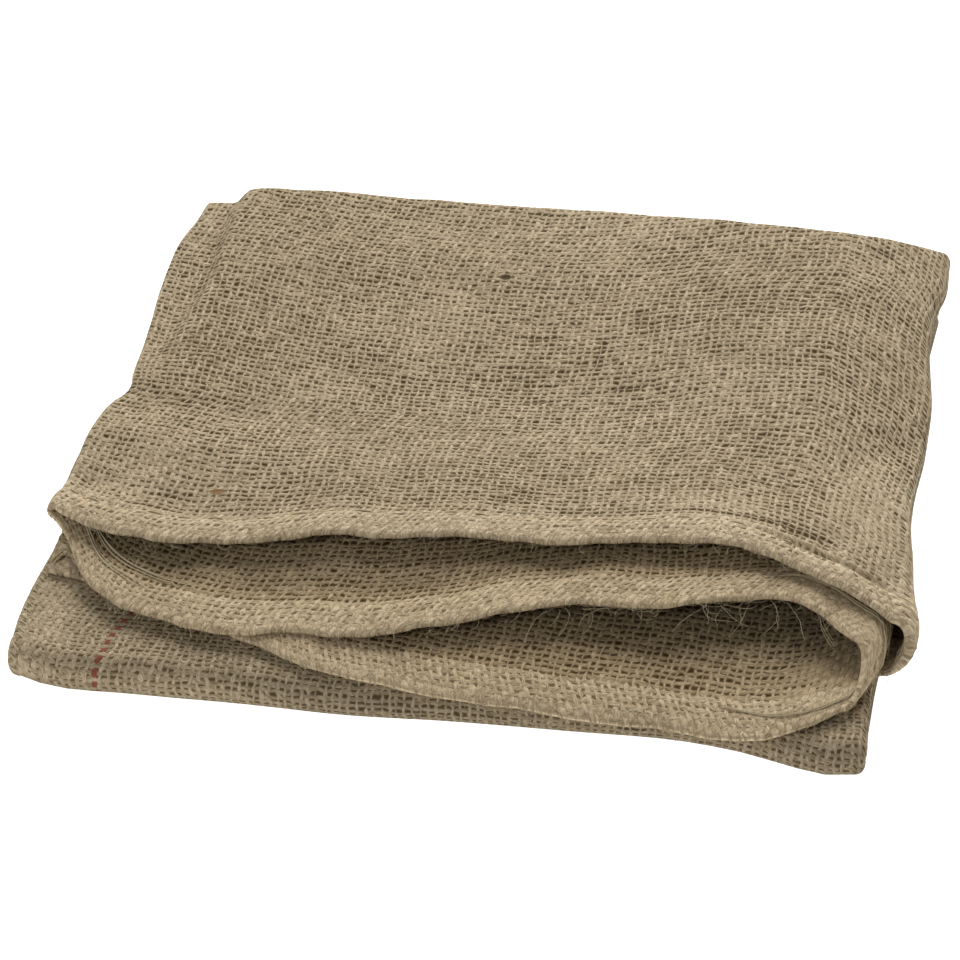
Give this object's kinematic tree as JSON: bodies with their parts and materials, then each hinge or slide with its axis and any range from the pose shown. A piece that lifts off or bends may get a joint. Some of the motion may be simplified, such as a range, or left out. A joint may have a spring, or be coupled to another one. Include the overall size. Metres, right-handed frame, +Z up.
{
  "type": "jute sack",
  "caption": "Folded jute sack: a hemmed, open-mouthed tube of plain-woven cloth, folded in half and then in three, resting flat with its mouth at the front.",
  "frame": {"origin": "middle of the underside of the folded pack, on the surface it rests on", "axes": "+Z up, -Y towards the open mouth, +X towards the lengthwise fold"},
  "size_m": [0.3288, 0.3362, 0.0348],
  "materials": {
    "jute": "natural, dry, plain weave"
  },
  "bodies": {
    "root": {"sack": "jute"}
  },
  "joints": []
}
